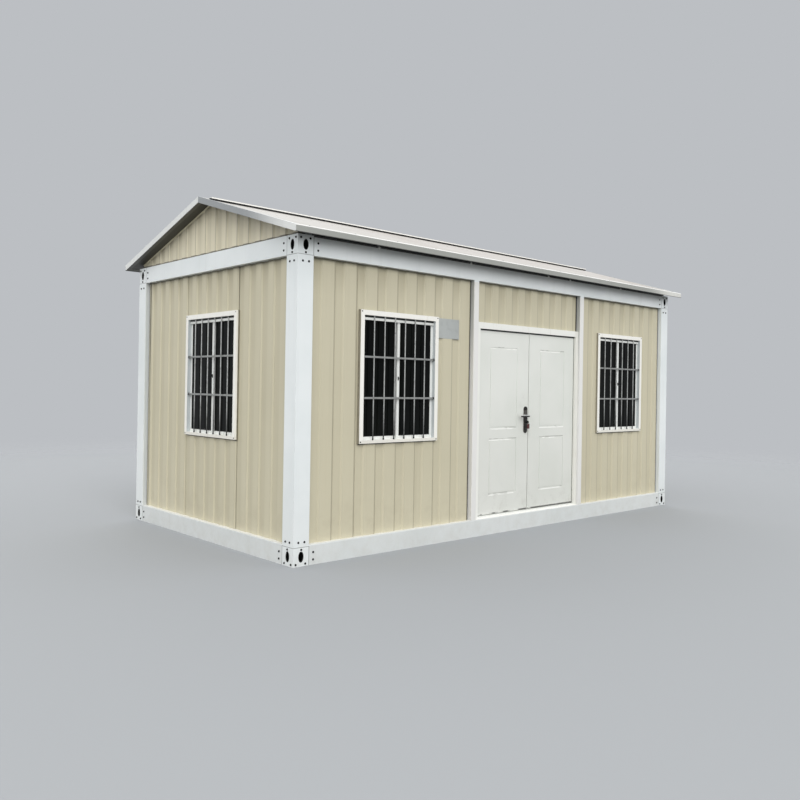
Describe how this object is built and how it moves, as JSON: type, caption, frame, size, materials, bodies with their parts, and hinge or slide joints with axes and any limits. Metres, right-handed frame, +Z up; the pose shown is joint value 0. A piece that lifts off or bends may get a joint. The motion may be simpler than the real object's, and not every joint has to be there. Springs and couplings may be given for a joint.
{
  "type": "container house",
  "caption": "Single-storey container house on a bolted steel frame with ribbed panel walls, barred sliding windows, a double door and a low gable roof.",
  "frame": {"origin": "centre of the base at ground level", "axes": "+X along the door side to the right as seen from outside, +Y from the door side to the back, +Z up"},
  "size_m": [6.222, 3.322, 3.3253],
  "materials": {
    "frame_paint": "satin white paint on folded steel",
    "panel_paint": "beige coated steel facing with pressed ribs",
    "sash_white": "white extruded plastic",
    "window_glass": "clear dark float glass",
    "door_paint": "off-white paint on pressed steel",
    "hinge_steel": "zinc coated steel",
    "handle_metal": "dark plated metal",
    "roof_sheet": "near white coated steel sheet",
    "trim_paint": "pale grey coated steel",
    "floor_finish": "sealed board",
    "ceiling_finish": "white coated facing"
  },
  "bodies": {
    "house": {"long_bottom_beams": "frame_paint", "end_bottom_beams": "frame_paint", "long_top_beams": "frame_paint", "end_top_beams": "frame_paint", "front_left_post": "frame_paint", "front_right_post": "frame_paint", "back_left_post": "frame_paint", "back_right_post": "frame_paint", "bottom_corner_blocks": "frame_paint", "top_corner_blocks": "frame_paint", "floor_joists": "hinge_steel", "floor_panel": "floor_finish", "ceiling_panel": "ceiling_finish", "front_left_wall": "panel_paint", "front_right_wall": "panel_paint", "over_door_panel": "panel_paint", "left_end_wall": "panel_paint", "right_end_wall": "panel_paint", "back_wall": "panel_paint", "front_left_casing": "frame_paint", "front_left_sashes": "sash_white", "front_left_panes": "window_glass", "front_right_casing": "frame_paint", "front_right_sashes": "sash_white", "front_right_panes": "window_glass", "left_end_casing": "frame_paint", "left_end_sashes": "sash_white", "left_end_panes": "window_glass", "right_end_casing": "frame_paint", "right_end_sashes": "sash_white", "right_end_panes": "window_glass", "left_door_post": "frame_paint", "right_door_post": "frame_paint", "left_door_jamb": "door_paint", "right_door_jamb": "door_paint", "door_lintel": "door_paint", "door_threshold": "door_paint", "left_door_hinges": "hinge_steel", "right_door_hinges": "hinge_steel", "front_roof_panel": "roof_sheet", "back_roof_panel": "roof_sheet", "ridge_cap": "roof_sheet", "eave_trims": "trim_paint", "gable_trims": "trim_paint", "left_gable_panel": "panel_paint", "right_gable_panel": "panel_paint", "eave_rails": "hinge_steel"},
    "left_door": {"left_door_leaf": "door_paint", "handle_plates": "handle_metal"},
    "right_door": {"right_door_leaf": "door_paint"},
    "lever": {"door_lever": "handle_metal"}
  },
  "joints": [
    {"name": "left_door_hinge", "type": "hinge", "parent": "house", "child": "left_door", "pos_m": [-0.713, -1.432, 1.17], "axis": [0, 0, 1], "range_deg": [0, 100]},
    {"name": "right_door_hinge", "type": "hinge", "parent": "house", "child": "right_door", "pos_m": [0.967, -1.432, 1.17], "axis": [0, 0, -1], "range_deg": [0, 100]},
    {"name": "lever_turn", "type": "hinge", "parent": "left_door", "child": "lever", "pos_m": [0.077, -1.463, 1.222], "axis": [0, -1, 0], "range_deg": [0, 40], "stiffness_Nm_per_rad": 0.6}
  ]
}
